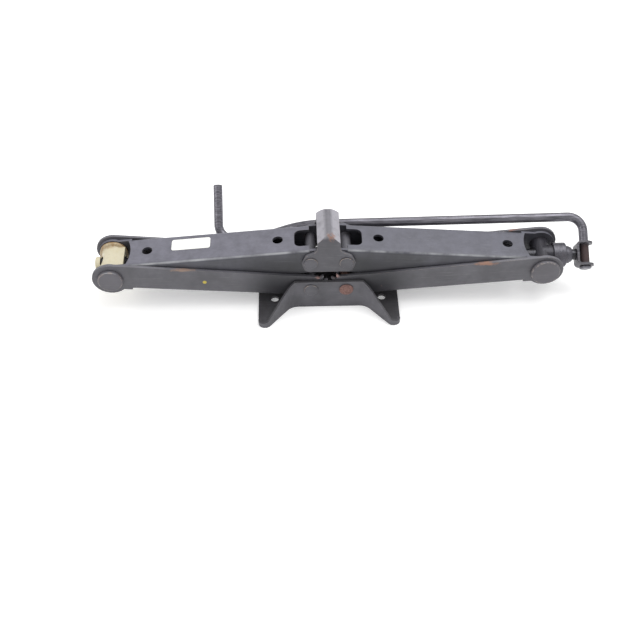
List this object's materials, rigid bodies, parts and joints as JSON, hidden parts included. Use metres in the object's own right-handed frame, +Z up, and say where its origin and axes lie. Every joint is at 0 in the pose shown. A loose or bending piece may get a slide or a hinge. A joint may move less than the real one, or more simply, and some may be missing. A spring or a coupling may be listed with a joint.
{
  "type": "scissor screw jack",
  "caption": "Folded scissor screw jack for lifting a car: stamped foot and head, four geared channel arms, lead screw and a folding crank.",
  "frame": {"origin": "under the middle of the foot, on the ground", "axes": "+Z up, +X along the screw from the nut towards the crank fork, +Y towards the folded crank at the back"},
  "size_m": [0.442, 0.1172, 0.0803],
  "materials": {
    "black_paint": "satin, scuffed",
    "rusty_rivet": "rusted",
    "bright_steel": "ground",
    "greased_steel": "greased",
    "worn_bar": "worn black oxide",
    "cream_plastic": "moulded",
    "white_label": "smooth film"
  },
  "bodies": {
    "foot": {"base_foot": "black_paint", "base_rivet_left": "black_paint", "base_rivet_right": "rusty_rivet"},
    "left_lower": {"left_lower_arm": "black_paint"},
    "right_lower": {"right_lower_arm": "black_paint"},
    "left_upper": {"left_upper_arm": "black_paint", "blank_label": "white_label"},
    "right_upper": {"right_upper_arm": "black_paint"},
    "head": {"head_saddle": "black_paint", "head_rivet_left": "black_paint", "head_rivet_right": "black_paint"},
    "nut_end": {"nut_trunnion": "greased_steel", "nut_sleeve": "cream_plastic", "nut_pivot_front": "black_paint", "nut_pivot_back": "black_paint"},
    "bearing_end": {"bearing_trunnion": "black_paint", "bearing_pivot_front": "black_paint", "bearing_pivot_back": "black_paint", "thrust_cup": "black_paint", "thrust_race_inner": "bright_steel", "thrust_ball_ring": "bright_steel"},
    "screw": {"lead_screw": "greased_steel", "screw_collar": "black_paint", "thrust_race_outer": "bright_steel", "crank_fork": "worn_bar", "screw_end_cap": "cream_plastic"},
    "crank": {"crank_rod": "worn_bar"}
  },
  "joints": [
    {"name": "lift", "type": "hinge", "parent": "foot", "child": "left_lower", "pos_m": [-0.0155, 0, 0.021], "axis": [0, 1, 0], "range_deg": [0, 52]},
    {"name": "right_lower_pivot", "type": "hinge", "parent": "foot", "child": "right_lower", "pos_m": [0.0155, 0, 0.021], "axis": [0, -1, 0], "range_deg": [0, 52]},
    {"name": "left_upper_pivot", "type": "hinge", "parent": "left_lower", "child": "left_upper", "pos_m": [-0.1899, 0, 0.03549], "axis": [0, -1, 0], "range_deg": [0, 104]},
    {"name": "right_upper_pivot", "type": "hinge", "parent": "right_lower", "child": "right_upper", "pos_m": [0.1899, 0, 0.03549], "axis": [0, 1, 0], "range_deg": [0, 104]},
    {"name": "head_pivot", "type": "hinge", "parent": "left_upper", "child": "head", "pos_m": [-0.0155, 0, 0.04998], "axis": [0, 1, 0], "range_deg": [0, 52]},
    {"name": "nut_pivot", "type": "hinge", "parent": "left_lower", "child": "nut_end", "pos_m": [-0.1899, 0, 0.03549], "axis": [0, -1, 0], "range_deg": [0, 52]},
    {"name": "bearing_pivot", "type": "hinge", "parent": "right_lower", "child": "bearing_end", "pos_m": [0.1899, 0, 0.03549], "axis": [0, 1, 0], "range_deg": [0, 52]},
    {"name": "screw_turn", "type": "hinge", "parent": "bearing_end", "child": "screw", "pos_m": [0.1899, 0, 0.03549], "axis": [-1, 0, 0], "range_deg": [0, 34]},
    {"name": "crank_fold", "type": "hinge", "parent": "screw", "child": "crank", "pos_m": [0.2286, 0, 0.03549], "axis": [0, -0.829, -0.5592], "range_deg": [0, 180]}
  ],
  "couplings": [
    {"joint": "right_lower_pivot", "follows": "lift", "ratio": 1},
    {"joint": "left_upper_pivot", "follows": "lift", "ratio": 2},
    {"joint": "right_upper_pivot", "follows": "lift", "ratio": 2},
    {"joint": "head_pivot", "follows": "lift", "ratio": 1},
    {"joint": "nut_pivot", "follows": "lift", "ratio": 1},
    {"joint": "bearing_pivot", "follows": "lift", "ratio": 1}
  ]
}
